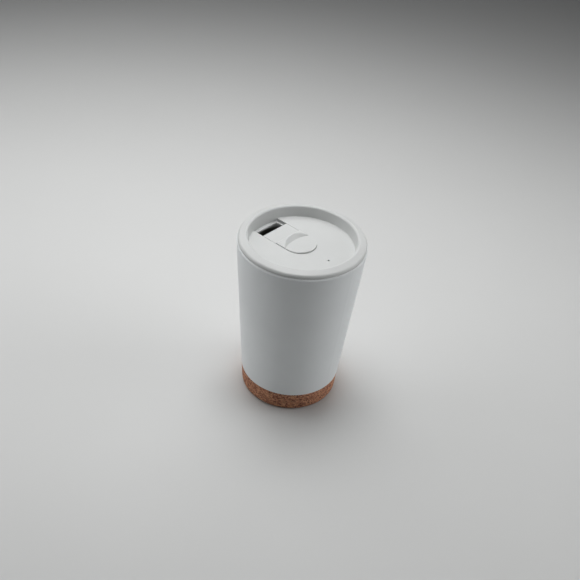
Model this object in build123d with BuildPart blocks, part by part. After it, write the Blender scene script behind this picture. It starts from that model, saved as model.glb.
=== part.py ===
from build123d import *
import math
import os

# Double-wall travel tumbler: steel walls, cork foot, push-in lid with a slide cover.
# Frame: +Z up, origin at the centre of the cork's underside, drinking hole towards -X.

# Cup walls
mouth_radius = 42.5  # outside of the wall at the lip
cup_height = 120.6  # underside of the cork to the top of the lip
wall_taper = 0.071  # radius lost per millimetre of height, going down the wall
sheet = 0.6  # thickness of every pressed steel piece
lip_width = 3.45  # flat top of the rolled lip, with its rounding
lip_rounding = 1.0
seam_rounding = 0.4  # edges either side of the joint between wall and cork
bore_depth = 13.0  # straight length of the bore below the lip, where the seal sits
flange_width = 1.8  # how far the liner's flange reaches out under the lip
floor_gap = 4.3  # air between the base plate and the liner's floor
foot_gap = 1.4  # air between the steel foot and the liner, at the liner's floor
liner_rounding = 6.0  # inside corner between the liner's wall and floor

# Foot and cork
cork_height = 14.6
cork_wall = 2.6  # cork thickness at its top edge
cork_floor = 2.8  # cork left under the steel foot
cork_rounding = 2.2  # bottom edge of the cork
cork_clearance = 0.05  # cork bore round the steel foot
glue_thickness = 0.3
glue_margin = 0.4  # glue disc stops short of the foot's outside
plate_rim = 3.0  # height of the base plate's upturned rim
plate_rounding = 1.2
weld_clearance = 0.02  # base plate inside the foot

# Lid: rim, sunken deck and skirt
rim_rise = 4.4  # crest of the rim above the lip
rim_overlap = 2.75  # how far the rim reaches out over the lip
rim_width = 6.2  # outside of the rim to the top of its inner wall
rim_fall = 2.0  # the rim's top slopes down by this much, crest to outside
rim_rounding = 2.0
rim_foot_rounding = 0.4  # lower outside edge, over the lip
crest_run = 1.0  # slope between the crest and the inner wall, across
crest_fall = 1.2  # and down
crest_rounding = 1.4
inner_edge_rounding = 0.9
wall_draft = 1.0  # inner wall leans in by this much down to the deck
deck_depth = 7.9  # deck below the crest
deck_rounding = 0.5
deck_thickness = 1.6
skirt_clearance = 0.2  # skirt inside the bore
skirt_thickness = 1.8
skirt_depth = 12.0  # skirt below the lip
skirt_chamfer = 0.5
core_wall = 1.2  # wall between the rim's hollow and its inner face
core_top = 4.0  # the hollow stops this far below the crest

# Seal ring in the skirt
seal_depth = 7.4  # centre of the seal below the lip
seal_height = 2.8
seal_groove_depth = 1.0
seal_groove_clearance = 0.05
seal_running_clearance = 0.06  # bead inside the bore

# Channel, drinking hole and vent
channel_depth = 2.2  # channel floor below the deck
channel_floor_thickness = 1.4
channel_wall = 1.3
hole_width = 7.5  # along X
hole_length = 20.4  # along Y
hole_corner = 1.8
hole_chamfer = 0.3
vent_from_wall = 12.1
vent_radius = 0.7

# Slide cover
cover_length = 34.1
cover_side_margin = 1.1  # cover outside the hole on each side
cover_overlap = 0.7  # cover over the hole's edge while open
cover_shut_margin = 0.9  # cover beyond the hole's far edge while shut
cover_clearance = 0.2  # cover to the channel's sides and end
cover_gap = 0.1  # cover over the channel floor
cover_corner = 1.4
cover_wall_clearance = 0.37  # front corners of the shut cover to the foot of the inner wall
cover_slope_drop = 0.9  # slope at the mouth end
cover_slope_length = 1.3
cover_edge_rounding = 0.3  # top edge of the round end
cover_soft_rounding = 0.8  # foot of the ramp and top of the slope

# Thumb pad on the cover: crowned ridge, leaning scoop wall, floor rising to the round end
ridge_rise = 2.9  # highest point of the ridge above the deck
ridge_crown_radius = 30.0  # ridge falls off to both sides
ridge_foot_from_end = 21.9  # where the ramp leaves the flat top
ridge_top_from_end = 19.0
scoop_foot_from_end = 16.1  # where the scoop's wall meets its floor
scoop_radius = 24.7
scoop_lean = 44.0  # degrees off upright
scoop_floor_rise = 0.23  # scoop floor above the deck at its wall
scoop_end_rise = 1.23  # and at the round end
ridge_rounding = 0.6

# Stem, barbs, clip and pad under the cover
stem_from_end = 17.1
stem_length = 4.0  # along X
stem_width = 5.0  # along Y
stem_clearance = 0.2  # stem in the guide slot
barb_reach = 0.5
barb_height = 1.0
clip_width = 11.0
clip_thickness = 1.2
clip_corner = 2.0
clip_margin = 1.2  # clip beyond the guide slot at either end of the travel
clip_gap = 0.1  # clip below the channel floor
clip_fit = 0.05  # stem in the clip
pad_thickness = 0.9
pad_margin = 0.5  # pad outside the hole, all round
pad_fit = 0.05

# Radii and heights that follow from the sizes above
bore_radius = mouth_radius - lip_width
crest_z = cup_height + rim_rise
deck_z = crest_z - deck_depth
deck_underside_z = deck_z - deck_thickness
channel_floor_z = deck_z - channel_depth
channel_underside_z = channel_floor_z - channel_floor_thickness
foot_bottom_z = cork_floor + glue_thickness
cover_bottom_z = channel_floor_z + cover_gap
rim_radius = bore_radius + rim_overlap
inner_edge_radius = rim_radius - rim_width
deck_radius = inner_edge_radius - wall_draft
cover_half_width = hole_length / 2 + cover_side_margin
channel_half_width = cover_half_width + cover_clearance
cover_travel = hole_width + cover_shut_margin - cover_overlap

# Places along X: the shut cover's front corners just clear the inner wall, and the hole lies under the cover
corner_reach = deck_radius - cover_wall_clearance - cover_corner
corner_y = cover_half_width - cover_corner
cover_shut_x = -math.sqrt(corner_reach**2 - corner_y**2) - cover_corner
hole_front_x = cover_shut_x + cover_shut_margin
hole_x = hole_front_x + hole_width / 2
cover_front_x = hole_x + hole_width / 2 - cover_overlap
cover_end_x = cover_front_x + cover_length
cover_round_x = cover_end_x - cover_half_width
stem_x = cover_end_x - stem_from_end


def wall_radius(height):
    """Outside radius of the tapered wall at a height."""
    return mouth_radius - wall_taper * (cup_height - height)


def corner(sketch, radius, height):
    """The sketch's corner nearest to a radius and a height."""
    return sketch.vertices().sort_by_distance((radius, height, 0))[0]


# Outer wall: rolled lip, tapered side, foot stepped in behind the cork
foot_radius = wall_radius(cork_height) - cork_wall
foot_inner_radius = foot_radius - sheet
shoulder_z = cork_height + sheet
with BuildPart() as outer_shell:
    with BuildSketch(Plane.XZ) as shell_profile:
        with BuildLine():
            Polyline(
                (bore_radius, cup_height),
                (mouth_radius, cup_height),
                (wall_radius(cork_height), cork_height),
                (foot_radius, cork_height),
                (foot_radius, foot_bottom_z),
                (foot_inner_radius, foot_bottom_z),
                (foot_inner_radius, shoulder_z),
                (wall_radius(shoulder_z) - sheet, shoulder_z),
                (mouth_radius - sheet, cup_height - sheet),
                (bore_radius, cup_height - sheet),
                close=True,
            )
        make_face()
        fillet(corner(shell_profile, mouth_radius, cup_height), lip_rounding)
        fillet(corner(shell_profile, mouth_radius - sheet, cup_height - sheet), lip_rounding - sheet)
        fillet(corner(shell_profile, wall_radius(cork_height), cork_height), seam_rounding)
    revolve(axis=Axis.Z)

# Inner cup: flange under the lip, straight bore for the seal, tapered wall, rounded floor
flange_top_z = cup_height - sheet
bore_bottom_z = cup_height - bore_depth
liner_underside_z = foot_bottom_z + sheet + floor_gap
liner_floor_z = liner_underside_z + sheet
liner_foot_radius = foot_inner_radius - foot_gap - sheet
with BuildPart() as inner_liner:
    with BuildSketch(Plane.XZ) as liner_profile:
        with BuildLine():
            Polyline(
                (bore_radius, flange_top_z),
                (bore_radius + flange_width, flange_top_z),
                (bore_radius + flange_width, flange_top_z - sheet),
                (bore_radius + sheet, flange_top_z - sheet),
                (bore_radius + sheet, bore_bottom_z),
                (liner_foot_radius + sheet, liner_underside_z),
                (0, liner_underside_z),
                (0, liner_floor_z),
                (liner_foot_radius, liner_floor_z),
                (bore_radius, bore_bottom_z),
                close=True,
            )
        make_face()
        fillet(corner(liner_profile, liner_foot_radius, liner_floor_z), liner_rounding)
        fillet(
            corner(liner_profile, liner_foot_radius + sheet, liner_underside_z),
            liner_rounding + sheet,
        )
    revolve(axis=Axis.Z)

# Base plate: pressed disc with an upturned rim, welded inside the foot
plate_radius = foot_inner_radius - weld_clearance
with BuildPart() as base_plate:
    with BuildSketch(Plane.XZ) as plate_profile:
        with BuildLine():
            Polyline(
                (0, foot_bottom_z),
                (plate_radius, foot_bottom_z),
                (plate_radius, foot_bottom_z + plate_rim),
                (plate_radius - sheet, foot_bottom_z + plate_rim),
                (plate_radius - sheet, foot_bottom_z + sheet),
                (0, foot_bottom_z + sheet),
                close=True,
            )
        make_face()
        fillet(corner(plate_profile, plate_radius, foot_bottom_z), plate_rounding)
        fillet(corner(plate_profile, plate_radius - sheet, foot_bottom_z + sheet), plate_rounding - sheet)
    revolve(axis=Axis.Z)

# Glue between the steel foot and the cork
with BuildPart() as base_glue:
    with BuildSketch(Plane.XY.offset(cork_floor)):
        Circle(foot_radius - glue_margin)
    extrude(amount=glue_thickness)

# Cork cup round the foot, flush with the wall above
with BuildPart() as cork_base:
    with BuildSketch(Plane.XZ) as cork_profile:
        with BuildLine():
            Polyline(
                (0, 0),
                (wall_radius(0), 0),
                (wall_radius(cork_height), cork_height),
                (foot_radius + cork_clearance, cork_height),
                (foot_radius + cork_clearance, cork_floor),
                (0, cork_floor),
                close=True,
            )
        make_face()
        fillet(corner(cork_profile, wall_radius(0), 0), cork_rounding)
        fillet(corner(cork_profile, wall_radius(cork_height), cork_height), seam_rounding)
    revolve(axis=Axis.Z)

# Lid: the turned shape, then the channel tray, its recess, the holes and the guide slot
skirt_radius = bore_radius - skirt_clearance
skirt_inner_radius = skirt_radius - skirt_thickness
seal_z = cup_height - seal_depth
groove_radius = skirt_radius - seal_groove_depth
core_top_z = crest_z - core_top
wall_height = deck_depth - crest_fall
core_foot_radius = deck_radius + core_wall
core_top_radius = core_foot_radius + wall_draft * (core_top_z - deck_z) / wall_height
guide_reach = stem_length / 2 + stem_clearance
with BuildPart() as lid_body:
    with BuildSketch(Plane.XZ) as lid_profile:
        with BuildLine():
            Polyline(
                (0, deck_z),
                (deck_radius, deck_z),
                (inner_edge_radius, crest_z - crest_fall),
                (inner_edge_radius + crest_run, crest_z),
                (rim_radius, crest_z - rim_fall),
                (rim_radius, cup_height),
                (skirt_radius, cup_height),
                (skirt_radius, seal_z + seal_height / 2),
                (groove_radius, seal_z + seal_height / 2),
                (groove_radius, seal_z - seal_height / 2),
                (skirt_radius, seal_z - seal_height / 2),
                (skirt_radius, cup_height - skirt_depth),
                (skirt_inner_radius, cup_height - skirt_depth),
                (skirt_inner_radius, core_top_z),
                (core_top_radius, core_top_z),
                (core_foot_radius, deck_underside_z),
                (0, deck_underside_z),
                close=True,
            )
        make_face()
        fillet(corner(lid_profile, rim_radius, crest_z - rim_fall), rim_rounding)
        fillet(corner(lid_profile, rim_radius, cup_height), rim_foot_rounding)
        fillet(corner(lid_profile, inner_edge_radius + crest_run, crest_z), crest_rounding)
        fillet(corner(lid_profile, inner_edge_radius, crest_z - crest_fall), inner_edge_rounding)
        fillet(corner(lid_profile, deck_radius, deck_z), deck_rounding)
        chamfer(corner(lid_profile, skirt_radius, cup_height - skirt_depth), skirt_chamfer)
    revolve(axis=Axis.Z)
    with BuildSketch(Plane.XY.offset(channel_underside_z)):
        with Locations((cover_round_x, 0)):
            Circle(channel_half_width + channel_wall)
            Rectangle(
                2 * mouth_radius,
                2 * (channel_half_width + channel_wall),
                align=(Align.MAX, Align.CENTER),
            )
        Circle(core_foot_radius, mode=Mode.INTERSECT)
    extrude(amount=deck_z - channel_underside_z)
    with BuildSketch(Plane.XY.offset(channel_floor_z)):
        with Locations((cover_round_x, 0)):
            Circle(channel_half_width)
            Rectangle(2 * mouth_radius, 2 * channel_half_width, align=(Align.MAX, Align.CENTER))
        Circle(deck_radius, mode=Mode.INTERSECT)
    extrude(amount=channel_depth + deck_rounding, mode=Mode.SUBTRACT)
    with BuildSketch(Plane.XY.offset(channel_floor_z)):
        with Locations((hole_x, 0)):
            RectangleRounded(hole_width, hole_length, hole_corner)
    extrude(amount=-channel_floor_thickness, mode=Mode.SUBTRACT)
    with BuildSketch(Plane.XY.offset(channel_floor_z)):
        with Locations((stem_x + guide_reach, 0)):
            Rectangle(
                cover_travel + 2 * guide_reach,
                stem_width + 2 * stem_clearance,
                align=(Align.MAX, Align.CENTER),
            )
    extrude(amount=-channel_floor_thickness, mode=Mode.SUBTRACT)
    with Locations((deck_radius - vent_from_wall, 0, deck_z)):
        Hole(vent_radius, depth=deck_thickness)
    hole_rim = (
        lid_body.edges()
        .filter_by_position(Axis.Z, channel_floor_z, channel_floor_z)
        .filter_by_position(Axis.X, hole_front_x - hole_chamfer, hole_front_x + hole_width)
        .filter_by_position(Axis.Y, -hole_length / 2, hole_length / 2)
    )
    chamfer(hole_rim, hole_chamfer)

# Seal ring: flat band in the groove with one rounded bead against the bore
seal_inner_radius = groove_radius + seal_groove_clearance
bead_tip_radius = bore_radius - seal_running_clearance
bead_radius = (bead_tip_radius - seal_inner_radius) / 2
with BuildPart() as lid_seal:
    with BuildSketch(Plane.XZ):
        with Locations((seal_inner_radius, seal_z)):
            Rectangle(
                skirt_radius - seal_inner_radius,
                seal_height - 2 * seal_groove_clearance,
                align=(Align.MIN, Align.CENTER),
            )
        with Locations((bead_tip_radius - bead_radius, seal_z)):
            Circle(bead_radius)
    revolve(axis=Axis.Z)

# Slide cover: flat mouth end, ridge with a scooped thumb pad, round end, stem with barbs
ridge_z = deck_z + ridge_rise
scoop_foot_x = cover_end_x - scoop_foot_from_end
scoop_slope = (scoop_end_rise - scoop_floor_rise) / scoop_foot_from_end
scoop_floor = Plane(
    origin=(scoop_foot_x, 0, deck_z + scoop_floor_rise),
    x_dir=(1, 0, scoop_slope),
    z_dir=(-scoop_slope, 0, 1),
)
pad_front_x = hole_front_x - pad_margin + cover_travel
clip_bottom_z = channel_underside_z - clip_gap - clip_thickness
with BuildPart() as slide_cover:
    with BuildSketch(Plane.XY.offset(cover_bottom_z)) as cover_outline:
        with Locations((cover_round_x, 0)):
            Circle(cover_half_width)
            Rectangle(
                cover_round_x - cover_front_x,
                2 * cover_half_width,
                align=(Align.MAX, Align.CENTER),
            )
        fillet(cover_outline.vertices().group_by(Axis.X)[0], cover_corner)
    extrude(amount=ridge_z - cover_bottom_z)
    with BuildSketch(Plane.YZ):
        with Locations((0, ridge_z - ridge_crown_radius)):
            Circle(ridge_crown_radius)
    extrude(amount=2 * cover_length, both=True, mode=Mode.INTERSECT)
    with BuildSketch(Plane.XZ):
        with BuildLine():
            Polyline(
                (cover_front_x, deck_z - cover_slope_drop),
                (cover_front_x + cover_slope_length, deck_z),
                (cover_end_x - ridge_foot_from_end, deck_z),
                (cover_end_x - ridge_top_from_end, ridge_z),
                (cover_front_x, ridge_z),
                close=True,
            )
        make_face()
    extrude(amount=2 * cover_half_width, both=True, mode=Mode.SUBTRACT)
    with BuildSketch(scoop_floor):
        with Locations((scoop_radius, 0)):
            Circle(scoop_radius)
    extrude(amount=2 * ridge_rise, taper=-scoop_lean, mode=Mode.SUBTRACT)
    flat_edges = slide_cover.edges().filter_by_position(Axis.Z, deck_z, deck_z)
    fillet(flat_edges.filter_by(Axis.Y), cover_soft_rounding)
    scoop_face = slide_cover.faces().filter_by(scoop_floor)[0]
    fillet(scoop_face.edges().sort_by(Axis.X)[1:], cover_edge_rounding)
    ridge_edges = slide_cover.edges().filter_by_position(Axis.Z, deck_z + ridge_rise / 2, ridge_z)
    fillet(ridge_edges, ridge_rounding)
    with BuildSketch(Plane.XY.offset(cover_bottom_z)):
        with Locations((pad_front_x - pad_fit, 0)):
            RectangleRounded(
                hole_width + 2 * (pad_margin + pad_fit),
                hole_length + 2 * (pad_margin + pad_fit),
                hole_corner + pad_margin + pad_fit,
                align=(Align.MIN, Align.CENTER),
            )
    extrude(amount=pad_thickness, mode=Mode.SUBTRACT)
    with BuildSketch(Plane.XY.offset(cover_bottom_z)):
        with Locations((stem_x, 0)):
            Rectangle(stem_length, stem_width)
    extrude(amount=clip_bottom_z - cover_bottom_z)
    with BuildSketch(Plane.XY.offset(clip_bottom_z)):
        with Locations((stem_x, 0)):
            Rectangle(stem_length, stem_width + 2 * barb_reach)
    extrude(amount=-barb_height)

# Silicone pad let into the cover's underside
with BuildPart() as slide_seal:
    with BuildSketch(Plane.XY.offset(cover_bottom_z)):
        with Locations((pad_front_x, 0)):
            RectangleRounded(
                hole_width + 2 * pad_margin,
                hole_length + 2 * pad_margin,
                hole_corner + pad_margin,
                align=(Align.MIN, Align.CENTER),
            )
    extrude(amount=pad_thickness)

# Clip under the channel floor, held on the stem by its barbs
with BuildPart() as slide_clip:
    with BuildSketch(Plane.XY.offset(clip_bottom_z)):
        with Locations((stem_x, 0)):
            RectangleRounded(2 * (cover_travel + guide_reach + clip_margin), clip_width, clip_corner)
            Rectangle(stem_length + 2 * clip_fit, stem_width + 2 * clip_fit, mode=Mode.SUBTRACT)
    extrude(amount=clip_thickness)

os.makedirs("parts", exist_ok=True)
pieces = {
    "outer_shell": outer_shell,
    "inner_liner": inner_liner,
    "base_plate": base_plate,
    "base_glue": base_glue,
    "cork_base": cork_base,
    "lid_body": lid_body,
    "lid_seal": lid_seal,
    "slide_cover": slide_cover,
    "slide_seal": slide_seal,
    "slide_clip": slide_clip,
}
for name, piece in pieces.items():
    piece.part.label = name
    export_step(piece.part, f"parts/{name}.step")
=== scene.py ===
"""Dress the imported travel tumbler: finishes, cork grain, floor, studio lights and camera."""

import logging
import math
from dataclasses import dataclass, field
from enum import Enum

import bpy
import numpy as np
from mathutils import Matrix, Vector, noise


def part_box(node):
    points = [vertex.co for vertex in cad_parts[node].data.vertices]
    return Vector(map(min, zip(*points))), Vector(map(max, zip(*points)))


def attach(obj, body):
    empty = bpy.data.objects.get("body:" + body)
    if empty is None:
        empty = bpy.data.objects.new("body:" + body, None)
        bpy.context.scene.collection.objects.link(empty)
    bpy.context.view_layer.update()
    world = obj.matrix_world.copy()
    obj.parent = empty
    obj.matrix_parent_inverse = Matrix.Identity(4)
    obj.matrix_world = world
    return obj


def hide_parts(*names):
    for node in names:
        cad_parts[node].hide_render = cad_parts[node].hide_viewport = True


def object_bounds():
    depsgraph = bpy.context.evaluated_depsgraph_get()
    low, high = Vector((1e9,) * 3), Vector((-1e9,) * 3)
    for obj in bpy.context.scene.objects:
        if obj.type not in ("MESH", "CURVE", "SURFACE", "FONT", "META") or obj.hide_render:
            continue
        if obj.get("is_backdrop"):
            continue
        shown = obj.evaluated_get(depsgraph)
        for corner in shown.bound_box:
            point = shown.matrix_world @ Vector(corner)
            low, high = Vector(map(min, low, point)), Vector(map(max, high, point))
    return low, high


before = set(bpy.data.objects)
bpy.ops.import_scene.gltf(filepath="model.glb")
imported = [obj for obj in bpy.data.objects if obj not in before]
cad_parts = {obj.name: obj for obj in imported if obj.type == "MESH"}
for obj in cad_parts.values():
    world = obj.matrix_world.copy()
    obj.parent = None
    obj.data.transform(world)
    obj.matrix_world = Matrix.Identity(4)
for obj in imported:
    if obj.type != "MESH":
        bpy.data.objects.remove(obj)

log = logging.getLogger("tumbler")

Colour = tuple[float, float, float]
Point = tuple[float, float]
Socket = bpy.types.NodeSocket
Value = Socket | float | tuple[float, ...]
MM = 0.001
MM_PER_METRE = 1000.0


class Side(Enum):
    """Where a softbox stands round the cup, as its azimuth in degrees."""

    BACK_LEFT = 268.0
    BACK = 218.0
    LEFT = 308.0
    RIGHT = 128.0


# ---------------------------------------------------------------------------
# Shader building
# ---------------------------------------------------------------------------


def rgba(colour: Colour) -> tuple[float, float, float, float]:
    """A colour with full alpha."""
    return (*colour, 1.0)


def dimmed(colour: Colour, factor: float) -> Colour:
    """A colour with each channel scaled by a factor."""
    return tuple(channel * factor for channel in colour)


class Nodes:
    """A short-hand for adding and joining nodes in one tree."""

    mix_factor: int = 0
    mix_low: int = 6
    mix_high: int = 7
    mix_result: int = 2

    def __init__(self, tree: bpy.types.NodeTree) -> None:
        """Hold the tree to add to."""
        self.tree = tree

    def feed(self, socket: Socket, value: Value) -> None:
        """Join a socket to an input, or set the input to a plain value.

        Args:
            socket: the input.
            value: a socket, a number or a colour.
        """
        if isinstance(value, Socket):
            self.tree.links.new(value, socket)
        else:
            socket.default_value = value

    def add(self, kind: str, values: dict | None = None, **settings: object) -> bpy.types.Node:
        """Add one node.

        Args:
            kind: the node's type name, such as "ShaderNodeTexNoise".
            values: input names or numbers with the values or sockets they take.
            settings: the node's own settings.

        Returns:
            The new node.
        """
        node = self.tree.nodes.new(kind)
        for name, value in settings.items():
            setattr(node, name, value)
        for name, value in (values or {}).items():
            self.feed(node.inputs[name], value)
        return node

    def math(self, operation: str, first: Value, second: Value = 0.0) -> Socket:
        """Work out a number.

        Args:
            operation: the Math node's operation.
            first: a number or a socket.
            second: a number or a socket.

        Returns:
            The result's socket.
        """
        return self.add("ShaderNodeMath", {0: first, 1: second}, operation=operation).outputs[0]

    def blend(self, mask: Value, low: Value, high: Value) -> Socket:
        """Mix two colours.

        Args:
            mask: how much of the second colour, from 0 to 1.
            low: the colour at 0.
            high: the colour at 1.

        Returns:
            The mixed colour's socket.
        """
        values = {self.mix_factor: mask, self.mix_low: low, self.mix_high: high}
        return self.add("ShaderNodeMix", values, data_type="RGBA").outputs[self.mix_result]

    def spread(self, value: Socket, low: float, high: float, to_low: float, to_high: float) -> Socket:
        """Map a range of numbers on to another, held at its ends.

        Args:
            value: the socket to map.
            low: start of the incoming range.
            high: end of the incoming range.
            to_low: what the start becomes.
            to_high: what the end becomes.

        Returns:
            The mapped number's socket.
        """
        values = {0: value, 1: low, 2: high, 3: to_low, 4: to_high}
        return self.add("ShaderNodeMapRange", values).outputs[0]

    def bump(self, height: Socket, strength: float, depth: float) -> Socket:
        """Turn a height into a surface direction.

        Args:
            height: the height's socket.
            strength: how strongly the bump shows, from 0 to 1.
            depth: what a height of 1 stands for, in metres.

        Returns:
            The normal's socket.
        """
        values = {"Height": height, "Strength": strength, "Distance": depth}
        return self.add("ShaderNodeBump", values).outputs[0]

    def place(self) -> Socket:
        """The socket of the position on the object, in metres."""
        return self.add("ShaderNodeTexCoord").outputs["Object"]

    def group(self, tree: bpy.types.NodeTree, values: dict) -> bpy.types.Node:
        """Place a node group with its own values."""
        return self.add("ShaderNodeGroup", values, node_tree=tree)


Group = tuple[bpy.types.NodeTree, Nodes, bpy.types.Node, bpy.types.Node]


def open_group(name: str, inputs: dict[str, float], outputs: tuple[str, ...]) -> Group:
    """Start a shader node group with named sockets, all of them plain numbers.

    Args:
        name: the group's name.
        inputs: each input's name and its default number.
        outputs: each output's name.

    Returns:
        The node tree, its node adder, the group's input node and its output node.
    """
    tree = bpy.data.node_groups.new(name, "ShaderNodeTree")
    for title, value in inputs.items():
        socket = tree.interface.new_socket(title, in_out="INPUT", socket_type="NodeSocketFloat")
        socket.default_value = value
    for title in outputs:
        tree.interface.new_socket(title, in_out="OUTPUT", socket_type="NodeSocketFloat")
    nodes = Nodes(tree)
    return tree, nodes, nodes.add("NodeGroupInput"), nodes.add("NodeGroupOutput")


class Effects:
    """The surface effects that several finishes share, each a node group built once."""

    pebble_detail: float = 1.5
    fine_detail: float = 1.0
    fine_ratio: float = 2.7  # the fine grain is this many times smaller than the pebbles
    grain_floor: float = 0.45
    grain_ceiling: float = 0.95
    cloud_detail: float = 3.0
    cloud_floor: float = 0.3
    cloud_ceiling: float = 0.7
    speck_radius: float = 0.09  # as a share of the speck's own cell

    def __init__(self) -> None:
        """Build every group."""
        self.grain = self._build_grain()
        self.handling = self._build_handling()

    def _build_grain(self) -> bpy.types.NodeTree:
        """Build the fine pebbled grain of a coating or a moulding.

        Returns:
            A group with a height for a Bump node and a mask from 0 to 1.
        """
        tree, nodes, start, end = open_group(
            "fine_grain",
            {"Pebble Size": 0.4, "Fine Share": 0.4},
            ("Height", "Mask"),
        )
        place = nodes.place()
        scale = nodes.math("DIVIDE", MM_PER_METRE, start.outputs["Pebble Size"])
        values = {"Vector": place, "Scale": scale, "Detail": self.pebble_detail}
        coarse = nodes.add("ShaderNodeTexNoise", values)
        fine_scale = nodes.math("MULTIPLY", scale, self.fine_ratio)
        values = {"Vector": place, "Scale": fine_scale, "Detail": self.fine_detail}
        fine = nodes.add("ShaderNodeTexNoise", values)
        fine_part = nodes.math("MULTIPLY", fine.outputs[0], start.outputs["Fine Share"])
        height = nodes.math("ADD", coarse.outputs[0], fine_part)
        mask = nodes.spread(height, self.grain_floor, self.grain_ceiling, 0.0, 1.0)
        nodes.feed(end.inputs["Height"], height)
        nodes.feed(end.inputs["Mask"], mask)
        return tree

    def _build_handling(self) -> bpy.types.NodeTree:
        """Build the faint cloudiness that handling leaves on a plain surface.

        Returns:
            A group with a soft mask and a scatter of dust specks.
        """
        tree, nodes, start, end = open_group(
            "handling",
            {"Cloud Size": 25.0, "Speck Size": 1.6, "Speck Amount": 0.1},
            ("Cloud", "Specks"),
        )
        place = nodes.place()
        cloud_scale = nodes.math("DIVIDE", MM_PER_METRE, start.outputs["Cloud Size"])
        values = {"Vector": place, "Scale": cloud_scale, "Detail": self.cloud_detail}
        cloud = nodes.add("ShaderNodeTexNoise", values)
        speck_scale = nodes.math("DIVIDE", MM_PER_METRE, start.outputs["Speck Size"])
        specks = nodes.add("ShaderNodeTexVoronoi", {"Vector": place, "Scale": speck_scale})
        chosen = nodes.math("LESS_THAN", specks.outputs["Color"], start.outputs["Speck Amount"])
        small = nodes.math("LESS_THAN", specks.outputs["Distance"], self.speck_radius)
        cloudy = nodes.spread(cloud.outputs[0], self.cloud_floor, self.cloud_ceiling, 0.0, 1.0)
        nodes.feed(end.inputs["Cloud"], cloudy)
        nodes.feed(end.inputs["Specks"], nodes.math("MULTIPLY", chosen, small))
        return tree


class Material:
    """A material in the making: its Principled shader and the nodes that feed it."""

    def __init__(self, name: str, **plain: object) -> None:
        """Start the material.

        Args:
            name: the material's name.
            plain: values for the shader's sockets, with _ for each space.
        """
        self.material = bpy.data.materials.new(name)
        self.material.use_nodes = True
        self.nodes = Nodes(self.material.node_tree)
        self.shader = self.material.node_tree.nodes["Principled BSDF"]
        for title, value in plain.items():
            self.shader.inputs[title.replace("_", " ")].default_value = value

    def finish(self, base: Socket, normal: Socket, rough: Socket | None = None) -> bpy.types.Material:
        """Join the maps to the shader.

        Args:
            base: the colour's socket.
            normal: the surface direction's socket.
            rough: the roughness's socket, where it changes over the surface.

        Returns:
            The finished material.
        """
        self.nodes.feed(self.shader.inputs["Base Color"], base)
        self.nodes.feed(self.shader.inputs["Normal"], normal)
        if rough is not None:
            self.nodes.feed(self.shader.inputs["Roughness"], rough)
        return self.material


# ---------------------------------------------------------------------------
# Finishes
# ---------------------------------------------------------------------------


@dataclass(frozen=True)
class Grain:
    """How pebbled a surface is. The pebbles are in millimetres and the depth in metres."""

    pebble: float
    fine_share: float
    strength: float
    depth: float

    def place(self, nodes: Nodes, effects: Effects) -> bpy.types.Node:
        """Place the shared grain with this surface's values."""
        return nodes.group(effects.grain, {"Pebble Size": self.pebble, "Fine Share": self.fine_share})


@dataclass(frozen=True)
class Handling:
    """How clouded and dusty a surface is. Sizes in millimetres."""

    cloud_size: float
    speck_size: float
    speck_amount: float
    dim: float = 1.0  # the clouds' colour as a share of the clean colour
    speck_strength: float = 0.0
    speck_colour: Colour = (0.4, 0.4, 0.4)

    def place(self, nodes: Nodes, effects: Effects) -> bpy.types.Node:
        """Place the shared handling marks with this surface's values.

        Args:
            nodes: the material's node adder.
            effects: the shared node groups.

        Returns:
            The placed group.
        """
        values = {
            "Cloud Size": self.cloud_size,
            "Speck Size": self.speck_size,
            "Speck Amount": self.speck_amount,
        }
        return nodes.group(effects.handling, values)


@dataclass(frozen=True)
class Skin:
    """A plain skin: one colour, a grain that roughens it, clouds and specks of dust."""

    grain: Grain
    handling: Handling
    roughness_low: float
    roughness_high: float

    def build(self, start: Material, effects: Effects, colour: Colour) -> bpy.types.Material:
        """Put the skin on a started material.

        Args:
            start: the material.
            effects: the shared node groups.
            colour: the clean colour.

        Returns:
            The finished material.
        """
        nodes = start.nodes
        grain = self.grain.place(nodes, effects)
        marks = self.handling.place(nodes, effects)
        dim = dimmed(colour, self.handling.dim)
        base = nodes.blend(marks.outputs["Cloud"], rgba(dim), rgba(colour))
        specks = nodes.math("MULTIPLY", marks.outputs["Specks"], self.handling.speck_strength)
        speckled = nodes.blend(specks, base, rgba(self.handling.speck_colour))
        rough = nodes.spread(grain.outputs["Mask"], 0.0, 1.0, self.roughness_low, self.roughness_high)
        normal = nodes.bump(grain.outputs["Height"], self.grain.strength, self.grain.depth)
        return start.finish(speckled, normal, rough)


@dataclass(frozen=True)
class PowderCoat:
    """Matt white powder coat over the steel wall: a fine orange-peel skin."""

    colour: Colour = (0.81, 0.835, 0.845)
    refraction: float = 1.5
    skin: Skin = Skin(
        grain=Grain(pebble=0.55, fine_share=0.5, strength=0.22, depth=0.06 * MM),
        handling=Handling(
            cloud_size=30.0,
            speck_size=2.2,
            speck_amount=0.05,
            dim=0.965,
            speck_strength=0.25,
            speck_colour=(0.4, 0.4, 0.4),
        ),
        roughness_low=0.47,
        roughness_high=0.58,
    )

    def build(self, effects: Effects) -> bpy.types.Material:
        """Make the powder-coat material."""
        return self.skin.build(Material("powder_coat", IOR=self.refraction), effects, self.colour)


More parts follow.
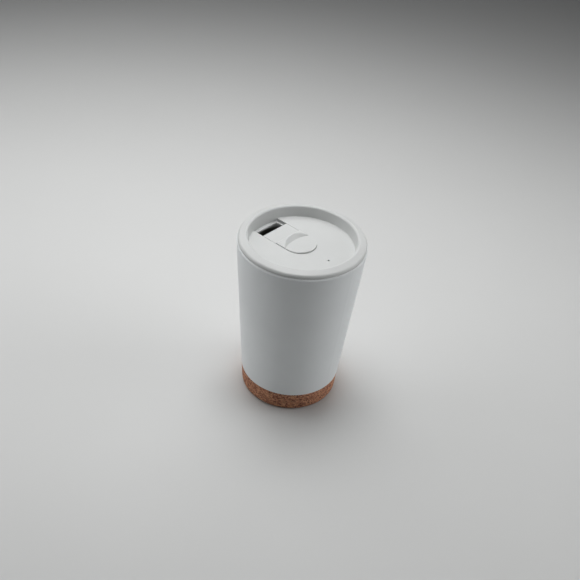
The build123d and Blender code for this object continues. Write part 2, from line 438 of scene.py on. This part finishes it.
@dataclass(frozen=True)
class MouldedPlastic:
    """White polypropylene with a spark-eroded mould texture. Its glow is painted light standing in for
    light let through.
    """

    colour: Colour = (0.55, 0.56, 0.555)
    refraction: float = 1.49
    # painted light: an even emission on all the plastic that stands in for light let through it and bounced
    # inside the lid
    painted_glow: float = 0.07
    skin: Skin = Skin(
        grain=Grain(pebble=0.22, fine_share=0.3, strength=0.18, depth=0.03 * MM),
        handling=Handling(
            cloud_size=18.0,
            speck_size=1.8,
            speck_amount=0.04,
            dim=0.97,
            speck_strength=0.2,
            speck_colour=(0.45, 0.45, 0.44),
        ),
        roughness_low=0.4,
        roughness_high=0.54,
    )

    def build(self, effects: Effects) -> bpy.types.Material:
        """Make the material.

        Args:
            effects: the shared node groups.

        Returns:
            The moulded-plastic material.
        """
        start = Material(
            "moulded_plastic",
            IOR=self.refraction,
            # painted glow: the emission is painted light, not a lamp
            Emission_Strength=self.painted_glow,
            Emission_Color=rgba(self.colour),
        )
        return self.skin.build(start, effects, self.colour)


@dataclass(frozen=True)
class PressedCork:
    """Pressed cork: packed granules of mixed browns with dark bark flecks and small pits.

    Granule in millimetres, warp in metres, and texture scales in cells to the metre.
    """

    granule: float = 1.4
    light: Colour = (0.78, 0.43, 0.25)
    middle: Colour = (0.5, 0.222, 0.13)
    dark: Colour = (0.27, 0.11, 0.068)
    bark: Colour = (0.11, 0.048, 0.035)
    refraction: float = 1.35
    roughness_low: float = 0.76
    roughness_high: float = 0.95
    middle_stop: float = 0.35  # share of the granules that lie between dark and middle
    pale_stop: float = 0.7
    warp_scale: float = 700.0
    warp: float = 1.1 * MM  # how far the granules' outlines wander
    noise_detail: float = 2.0
    mottle_scale: float = 3600.0
    mottle_low: float = 0.35
    mottle_high: float = 0.65
    mottle_strength: float = 0.45
    fleck_ratio: float = 1.9  # bark flecks are this many times smaller than granules
    fleck_share: float = 0.13
    seam_width: float = 0.09
    seam_strength: float = 0.55
    seam_slope: float = 0.16
    seam_height: float = 0.6
    grain_height: float = 0.7
    grain: Grain = Grain(pebble=0.3, fine_share=0.6, strength=0.6, depth=0.18 * MM)

    def build(self, effects: Effects) -> bpy.types.Material:
        """Make the material.

        Args:
            effects: the shared node groups.

        Returns:
            The cork material.
        """
        start = Material("pressed_cork", IOR=self.refraction)
        nodes = start.nodes
        place = nodes.place()
        bent = self._bend(nodes, place)
        scale = MM_PER_METRE / self.granule
        values = {"Vector": bent, "Scale": scale}
        cells = nodes.add("ShaderNodeTexVoronoi", values)
        edges = nodes.add("ShaderNodeTexVoronoi", values, feature="DISTANCE_TO_EDGE")
        flecks = nodes.add("ShaderNodeTexVoronoi", {"Vector": bent, "Scale": scale * self.fleck_ratio})
        pick = nodes.add("ShaderNodeSeparateColor", {0: cells.outputs["Color"]})
        fleck = nodes.add("ShaderNodeSeparateColor", {0: flecks.outputs["Color"]})
        tone = self._tone(nodes, pick.outputs[0])
        values = {"Vector": place, "Scale": self.mottle_scale, "Detail": self.noise_detail}
        fine = nodes.add("ShaderNodeTexNoise", values)
        mottle = nodes.spread(fine.outputs[0], self.mottle_low, self.mottle_high, 0.0, self.mottle_strength)
        mottled = nodes.blend(mottle, tone, rgba(self.middle))
        edge = edges.outputs["Distance"]
        seam = nodes.spread(edge, 0.0, self.seam_width, self.seam_strength, 0.0)
        seamed = nodes.blend(seam, mottled, rgba(self.dark))
        is_bark = nodes.math("GREATER_THAN", fleck.outputs[1], 1.0 - self.fleck_share)
        barky = nodes.blend(is_bark, seamed, rgba(self.bark))
        grain = self.grain.place(nodes, effects)
        crown = nodes.spread(edge, 0.0, self.seam_slope, 0.0, 1.0)
        relief = nodes.math("MULTIPLY", crown, self.seam_height)
        pebbles = nodes.math("MULTIPLY", grain.outputs["Height"], self.grain_height)
        height = nodes.math("ADD", relief, pebbles)
        normal = nodes.bump(height, self.grain.strength, self.grain.depth)
        rough = nodes.spread(grain.outputs["Mask"], 0.0, 1.0, self.roughness_low, self.roughness_high)
        return start.finish(barky, normal, rough)

    def _bend(self, nodes: Nodes, place: Socket) -> Socket:
        """Push a position about, so that the granules' outlines aren't straight.

        Args:
            nodes: the material's node adder.
            place: the position's socket.

        Returns:
            The pushed position's socket.
        """
        values = {"Vector": place, "Scale": self.warp_scale, "Detail": self.noise_detail}
        wander = nodes.add("ShaderNodeTexNoise", values)
        values = {0: wander.outputs["Color"], "Scale": self.warp}
        push = nodes.add("ShaderNodeVectorMath", values, operation="SCALE")
        return nodes.add("ShaderNodeVectorMath", {0: place, 1: push.outputs[0]}, operation="ADD").outputs[0]

    def _tone(self, nodes: Nodes, pick: Socket) -> Socket:
        """Give each granule a brown from dark to light.

        Args:
            nodes: the material's node adder.
            pick: the socket of each granule's own number.

        Returns:
            The colour's socket.
        """
        tone = nodes.add("ShaderNodeValToRGB", {0: pick})
        ramp = tone.color_ramp
        ramp.elements[0].color = rgba(self.dark)
        ramp.elements[1].color = rgba(self.light)
        ramp.elements.new(self.middle_stop).color = rgba(self.middle)
        pale = tuple(0.5 * (first + second) for first, second in zip(self.middle, self.light))
        ramp.elements.new(self.pale_stop).color = rgba(pale)
        return tone.outputs[0]


@dataclass(frozen=True)
class BrushedSteel:
    """Bare steel turned on a spindle, so that its brush lines run round the cup."""

    colour: Colour = (0.62, 0.61, 0.59)
    dim: float = 0.86
    roughness_low: float = 0.25
    roughness_high: float = 0.38
    line_stretch: float = 5.0
    line_scale: float = 900.0
    line_detail: float = 3.0
    line_floor: float = 0.3
    line_ceiling: float = 0.7
    line_strength: float = 0.25
    line_depth: float = 0.02 * MM
    cloud_roughness: float = 0.08
    handling: Handling = Handling(cloud_size=14.0, speck_size=2.0, speck_amount=0.03)

    def build(self, effects: Effects) -> bpy.types.Material:
        """Make the material.

        Args:
            effects: the shared node groups.

        Returns:
            The steel material.
        """
        start = Material("brushed_steel", Metallic=1.0)
        nodes = start.nodes
        turned = self._turned_place(nodes)
        values = {"Vector": turned, "Scale": self.line_scale, "Detail": self.line_detail}
        lines = nodes.add("ShaderNodeTexNoise", values).outputs[0]
        marks = self.handling.place(nodes, effects)
        tone = nodes.spread(lines, self.line_floor, self.line_ceiling, 0.0, 1.0)
        base = nodes.blend(tone, rgba(dimmed(self.colour, self.dim)), rgba(self.colour))
        cloudy = nodes.math("MULTIPLY", marks.outputs["Cloud"], self.cloud_roughness)
        ends = (self.line_floor, self.line_ceiling, self.roughness_low, self.roughness_high)
        rough = nodes.math("ADD", cloudy, nodes.spread(lines, *ends))
        normal = nodes.bump(lines, self.line_strength, self.line_depth)
        return start.finish(base, normal, rough)

    def _turned_place(self, nodes: Nodes) -> Socket:
        """Work out a position that only changes with the radius and the height.

        Args:
            nodes: the material's node adder.

        Returns:
            The position's socket.
        """
        parts = nodes.add("ShaderNodeSeparateXYZ", {0: nodes.place()})
        squares = [nodes.math("POWER", parts.outputs[axis], 2.0) for axis in (0, 1)]
        radius = nodes.math("SQRT", nodes.math("ADD", *squares))
        across = nodes.math("MULTIPLY", radius, self.line_stretch)
        along = nodes.math("MULTIPLY", parts.outputs[2], self.line_stretch)
        return nodes.add("ShaderNodeCombineXYZ", {0: across, 2: along}).outputs[0]


@dataclass(frozen=True)
class SoftRubber:
    """Silicone or cured glue: dull, slightly dusty and faintly rippled."""

    name: str
    colour: Colour
    refraction: float = 1.43
    skin: Skin = Skin(
        grain=Grain(pebble=0.8, fine_share=0.2, strength=0.2, depth=0.05 * MM),
        handling=Handling(
            cloud_size=6.0,
            speck_size=1.0,
            speck_amount=0.12,
            dim=0.93,
            speck_strength=0.4,
            speck_colour=(0.85, 0.85, 0.83),
        ),
        roughness_low=0.55,
        roughness_high=0.68,
    )

    def build(self, effects: Effects) -> bpy.types.Material:
        """Make the rubbery material."""
        return self.skin.build(Material(self.name, IOR=self.refraction), effects, self.colour)


@dataclass(frozen=True)
class StudioPaper:
    """Pale seamless paper under the cup."""

    colour: Colour = (0.61, 0.615, 0.61)
    roughness: float = 0.8
    grain: Grain = Grain(pebble=1.4, fine_share=0.5, strength=0.05, depth=0.05 * MM)
    handling: Handling = Handling(cloud_size=160.0, speck_size=9.0, speck_amount=0.0, dim=0.985)

    def build(self, effects: Effects) -> bpy.types.Material:
        """Make the material.

        Args:
            effects: the shared node groups.

        Returns:
            The paper material.
        """
        start = Material("studio_paper", Roughness=self.roughness)
        grain = self.grain.place(start.nodes, effects)
        marks = self.handling.place(start.nodes, effects)
        dim = dimmed(self.colour, self.handling.dim)
        base = start.nodes.blend(marks.outputs["Cloud"], rgba(dim), rgba(self.colour))
        normal = start.nodes.bump(grain.outputs["Height"], self.grain.strength, self.grain.depth)
        return start.finish(base, normal)


# ---------------------------------------------------------------------------
# Sub-assemblies
# ---------------------------------------------------------------------------


def dress(node: str, material: bpy.types.Material) -> None:
    """Give a CAD node one finish all over.

    Args:
        node: the CAD node's name.
        material: the finish's material.
    """
    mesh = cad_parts[node].data
    mesh.materials.clear()
    mesh.materials.append(material)
    log.info("dressed %s in %s", node, material.name)


class HalfSection:
    """A half section to be turned, walked point by point. Points are radius and height."""

    def __init__(self) -> None:
        """Start with no points."""
        self.path: list[Point] = []
        self.shares: list[float] = []

    def point(self, place: Point, share: float) -> None:
        """Add one point and its share of the relief."""
        self.path.append(place)
        self.shares.append(share)

    def line(self, start: Point, end: Point, step: float, share: float) -> None:
        """Add evenly spaced points from a start up to, but not at, an end.

        Args:
            start: where the line starts.
            end: where it ends.
            step: about how far apart the points are.
            share: how much of the relief they take, from 0 to 1.
        """
        count = max(1, round(math.dist(start, end) / step))
        for index in range(count):
            self.point(tuple(a + (b - a) * index / count for a, b in zip(start, end)), share)

    def arc(self, centre: Point, radius: float, first: float, last: float, count: int) -> None:
        """Add points round an arc, up to but not at its end, with the full relief.

        Args:
            centre: the arc's centre.
            radius: its radius.
            first: the angle that it starts at, in radians from the outward direction.
            last: the angle that it ends at.
            count: how many points.
        """
        for index in range(count):
            angle = first + (last - first) * index / count
            place = (centre[0] + radius * math.cos(angle), centre[1] + radius * math.sin(angle))
            self.point(place, 1.0)

    def normals(self) -> np.ndarray:
        """Work out each point's outward direction.

        Returns:
            One direction for each point, as radius and height.
        """
        along = np.gradient(np.array(self.path), axis=0)
        outward = np.stack([along[:, 1], -along[:, 0]], axis=1)
        lengths = np.linalg.norm(outward, axis=1, keepdims=True)
        return outward / np.maximum(lengths, 1e-9)


@dataclass
class CorkFoot:
    """The cork cup, turned again as a fine mesh with its granules and pits in relief. Sizes in metres."""

    taper: float = 0.071
    wall: float = 2.6 * MM
    floor: float = 2.8 * MM
    bottom_rounding: float = 2.2 * MM
    bottom_points: int = 9
    seam_rounding: float = 0.4 * MM
    seam_points: int = 4
    step: float = 0.45 * MM
    plain_step: float = 1.6 * MM
    floor_step: float = 6.4 * MM
    turns: int = 480
    smooth_angle: float = 40.0
    granule: float = 1.9 * MM
    crumb: float = 0.5 * MM
    relief: float = 0.1 * MM
    underside_share: float = 0.6  # of the relief, on the face that it stands on
    seam_share: float = 0.45
    level_share: float = 0.35
    crumb_share: float = 0.2
    seam_width: float = 0.25  # as a share of a granule, like the pit's radius
    level_stride: float = 7.3  # keeps the levels of granules side by side apart
    pit_level: float = 0.15
    pit_radius: float = 0.3
    pit_depth: float = 0.3 * MM
    finish: PressedCork = field(default_factory=PressedCork)

    def build(self, effects: Effects) -> bpy.types.Object:
        """Make the cork and let it stand for its CAD node.

        Args:
            effects: the shared node groups.

        Returns:
            The cork's object.
        """
        mesh = self._turn(self._section())
        mesh.materials.append(self.finish.build(effects))
        mesh.shade_smooth()
        mesh.set_sharp_from_angle(angle=math.radians(self.smooth_angle))
        cork = bpy.data.objects.new("cork_foot", mesh)
        bpy.context.scene.collection.objects.link(cork)
        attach(cork, "cup")
        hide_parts("cork_base")
        log.info("turned cork_foot with %d points", len(mesh.vertices))
        return cork

    def _section(self) -> HalfSection:
        """Walk the half section from the centre of the underside to the centre of the inner floor.

        Returns:
            The section.
        """
        low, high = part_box("cork_base")
        height = high.z - low.z
        top = (high.x - low.x) / 2 + self.seam_rounding * self.taper
        foot = top - self.taper * height
        bore = top - self.wall
        lean = math.atan(self.taper)
        slope = math.hypot(1.0, self.taper)
        low_r = self.bottom_rounding
        top_r = self.seam_rounding
        low_centre = (foot + self.taper * low_r - low_r * slope, low_r)
        top_centre = (top - self.taper * top_r - top_r * slope, height - top_r)
        wall_start = (low_centre[0] + low_r * math.cos(lean), low_r - low_r * math.sin(lean))
        wall_end = (top_centre[0] + top_r * math.cos(lean), top_centre[1] - top_r * math.sin(lean))
        section = HalfSection()
        section.line((0.0, 0.0), (low_centre[0], 0.0), self.plain_step, self.underside_share)
        section.arc(low_centre, low_r, -math.pi / 2, -lean, self.bottom_points)
        section.line(wall_start, wall_end, self.step, 1.0)
        section.arc(top_centre, top_r, -lean, math.pi / 2, self.seam_points)
        section.line((top_centre[0], height), (bore, height), self.step, 0.0)
        section.line((bore, height), (bore, self.floor), self.plain_step, 0.0)
        section.line((bore, self.floor), (0.0, self.floor), self.floor_step, 0.0)
        section.point((0.0, self.floor), 0.0)
        return section

    def _turn(self, section: HalfSection) -> bpy.types.Mesh:
        """Turn the section about Z, sinking each point by the cork's relief.

        Args:
            section: the half section, its first and last points on the axis.

        Returns:
            A closed mesh.
        """
        turns = self.turns
        angles = np.arange(turns) * (2 * math.pi / turns)
        round_points = list(zip(np.cos(angles), np.sin(angles)))
        places = [(0.0, 0.0, section.path[0][1])]
        inner = list(zip(section.path, section.normals(), section.shares))[1:-1]
        for (radius, level), (out, up), share in inner:
            for cos, sin in round_points:
                sink = share * self._sink(Vector((radius * cos, radius * sin, level))) if share else 0.0
                reach = radius - out * sink
                places.append((reach * cos, reach * sin, level - up * sink))
        last = len(places)
        places.append((0.0, 0.0, section.path[-1][1]))
        faces = []
        for turn in range(turns):
            after = (turn + 1) % turns
            faces.append((0, 1 + after, 1 + turn))
            for row in range(len(inner) - 1):
                here = 1 + row * turns
                over = here + turns
                faces.append((here + turn, here + after, over + after, over + turn))
            end = 1 + (len(inner) - 1) * turns
            faces.append((end + turn, end + after, last))
        mesh = bpy.data.meshes.new("cork_foot")
        mesh.from_pydata(places, [], faces)
        mesh.validate()
        return mesh

    def _sink(self, place: Vector) -> float:
        """Work out how deep the surface lies: seams between granules, their own levels, and a few pits.

        Args:
            place: a place on the smooth surface.

        Returns:
            The depth in metres.
        """
        near, cells = noise.voronoi(place / self.granule)
        seam = max(0.0, 1.0 - (near[1] - near[0]) / self.seam_width)
        level = 0.5 + 0.5 * noise.noise(cells[0] * self.level_stride)
        crumb = 0.5 + 0.5 * noise.noise(place / self.crumb)
        depth = self.relief * (self.seam_share * seam + self.level_share * level + self.crumb_share * crumb)
        if level < self.pit_level and near[0] < self.pit_radius:
            depth += self.pit_depth * (1.0 - near[0] / self.pit_radius)
        return depth


@dataclass
class CupBody:
    """The cup: powder-coated wall, steel liner and base, cork foot."""

    coat: PowderCoat = field(default_factory=PowderCoat)
    steel: BrushedSteel = field(default_factory=BrushedSteel)
    cork: CorkFoot = field(default_factory=CorkFoot)
    glue: SoftRubber = SoftRubber("cured_glue", (0.5, 0.46, 0.36))

    def build(self, effects: Effects) -> None:
        """Dress the cup's pieces.

        Args:
            effects: the shared node groups.
        """
        dress("outer_shell", self.coat.build(effects))
        steel = self.steel.build(effects)
        dress("inner_liner", steel)
        dress("base_plate", steel)
        dress("base_glue", self.glue.build(effects))
        self.cork.build(effects)


@dataclass
class LidWithCover:
    """The lid, its seal ring and the slide cover with its pad and clip."""

    plastic: MouldedPlastic = field(default_factory=MouldedPlastic)
    silicone: SoftRubber = SoftRubber("silicone", (0.66, 0.66, 0.64))

    def build(self, effects: Effects) -> None:
        """Dress the lid's and the cover's pieces.

        Args:
            effects: the shared node groups.
        """
        plastic = self.plastic.build(effects)
        for node in ("lid_body", "slide_cover", "slide_clip"):
            dress(node, plastic)
        silicone = self.silicone.build(effects)
        for node in ("lid_seal", "slide_seal"):
            dress(node, silicone)


# ---------------------------------------------------------------------------
# Studio
# ---------------------------------------------------------------------------


def towards(azimuth: float, elevation: float) -> Vector:
    """Work out a direction from the cup.

    Args:
        azimuth: degrees round from the front, about Z.
        elevation: degrees above the floor.

    Returns:
        A direction of length 1.
    """
    turn = math.radians(azimuth)
    lift = math.radians(elevation)
    return Vector((math.sin(turn) * math.cos(lift), -math.cos(turn) * math.cos(lift), math.sin(lift)))


@dataclass(frozen=True)
class SoftBox:
    """One rectangular studio light. Angles in degrees, sizes in metres, power in watts."""

    name: str
    side: Side
    elevation: float
    distance: float
    size: tuple[float, float]
    power: float
    spread: float = 180.0
    aim: tuple[float, float, float] = (0.0, 0.0, 0.06)

    def place(self) -> None:
        """Hang the light and turn it to the point that it is aimed at."""
        lamp = bpy.data.lights.new(self.name, "AREA")
        lamp.shape = "RECTANGLE"
        lamp.size = self.size[0]
        lamp.size_y = self.size[1]
        lamp.energy = self.power
        lamp.spread = math.radians(self.spread)
        light = bpy.data.objects.new(self.name, lamp)
        bpy.context.scene.collection.objects.link(light)
        away = towards(self.side.value, self.elevation)
        light.location = Vector(self.aim) + away * self.distance
        light.rotation_euler = (-away).to_track_quat("-Z", "Y").to_euler()


@dataclass
class Studio:
    """Pale floor, soft lights and the camera. Angles in degrees, sizes in metres, lens in millimetres."""

    floor_size: float = 6.0
    floor_drop: float = 0.05 * MM
    azimuth: float = 38.6
    elevation: float = 37.8
    roll: float = 5.63
    distance: float = 0.5247
    lens: float = 48.1
    nearest: float = 0.01
    farthest: float = 20.0
    target: Vector = field(default_factory=lambda: Vector((-3.81, -3.04, 79.6)) * MM)
    room_colour: Colour = (0.95, 0.98, 1.0)
    room_strength: float = 0.045
    paper: StudioPaper = field(default_factory=StudioPaper)
    lights: tuple[SoftBox, ...] = (
        SoftBox("ceiling", Side.BACK, elevation=88.0, distance=3.0, size=(3.0, 3.0), power=4.5),
        SoftBox(
            "overhead_grid",
            Side.BACK,
            elevation=86.0,
            distance=0.9,
            size=(0.45, 0.45),
            power=0.8,
            spread=75.0,
            aim=(-0.1, 0.03, 0.0),
        ),
        SoftBox("back_box", Side.BACK, elevation=58.0, distance=0.8, size=(0.6, 0.4), power=1.4),
        SoftBox("back_left_box", Side.BACK_LEFT, elevation=45.0, distance=0.8, size=(0.5, 0.5), power=1.27),
        SoftBox("left_box", Side.LEFT, elevation=22.0, distance=0.8, size=(0.5, 0.6), power=1.58),
        SoftBox("right_box", Side.RIGHT, elevation=22.0, distance=0.8, size=(0.5, 0.6), power=2.4),
    )

    def build(self, effects: Effects) -> None:
        """Set up floor, lights and camera.

        Args:
            effects: the shared node groups.
        """
        self._lay_floor(effects)
        for light in self.lights:
            light.place()
        self._set_world()
        self._place_camera()
        log.info("studio ready")

    def _lay_floor(self, effects: Effects) -> None:
        """Lay the paper just under the cup.

        Args:
            effects: the shared node groups.
        """
        half = self.floor_size / 2
        corners = [(-half, -half, 0.0), (half, -half, 0.0), (half, half, 0.0), (-half, half, 0.0)]
        mesh = bpy.data.meshes.new("floor")
        mesh.from_pydata(corners, [], [(0, 1, 2, 3)])
        mesh.materials.append(self.paper.build(effects))
        floor = bpy.data.objects.new("floor", mesh)
        floor.location.z = -self.floor_drop
        bpy.context.scene.collection.objects.link(floor)
        floor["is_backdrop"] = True

    def _set_world(self) -> None:
        """Fill the room with a dim even light."""
        world = bpy.data.worlds.new("room")
        world.use_nodes = True
        backdrop = world.node_tree.nodes["Background"]
        backdrop.inputs["Color"].default_value = rgba(self.room_colour)
        backdrop.inputs["Strength"].default_value = self.room_strength
        bpy.context.scene.world = world

    def _place_camera(self) -> None:
        """Place the camera, rolled about its own line of sight."""
        camera = bpy.data.objects.new("camera", bpy.data.cameras.new("camera"))
        bpy.context.scene.collection.objects.link(camera)
        camera.data.lens = self.lens
        camera.data.clip_start = self.nearest
        camera.data.clip_end = self.farthest
        back = towards(self.azimuth, self.elevation)
        turn = math.radians(self.azimuth)
        right = Vector((math.cos(turn), math.sin(turn), 0.0))
        upright = Matrix((right, back.cross(right), back)).transposed()
        rolled = upright @ Matrix.Rotation(math.radians(self.roll), 3, "Z")
        camera.matrix_world = Matrix.Translation(self.target + back * self.distance) @ rolled.to_4x4()
        bpy.context.scene.camera = camera


def plain(corners: tuple[Vector, Vector]) -> list[list[float]]:
    """A box's corners as plain lists of numbers."""
    return [list(corner) for corner in corners]


def main() -> None:
    """Build every sub-assembly in order and work out both boxes."""
    logging.basicConfig(level=logging.INFO, format="%(name)s: %(message)s")
    cad_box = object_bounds()
    bpy.context.scene.view_settings.view_transform = "Standard"
    effects = Effects()
    CupBody().build(effects)
    LidWithCover().build(effects)
    Studio().build(effects)
    {"cad": plain(cad_box), "visual": plain(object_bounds())}


if __name__ == "__main__":
    main()
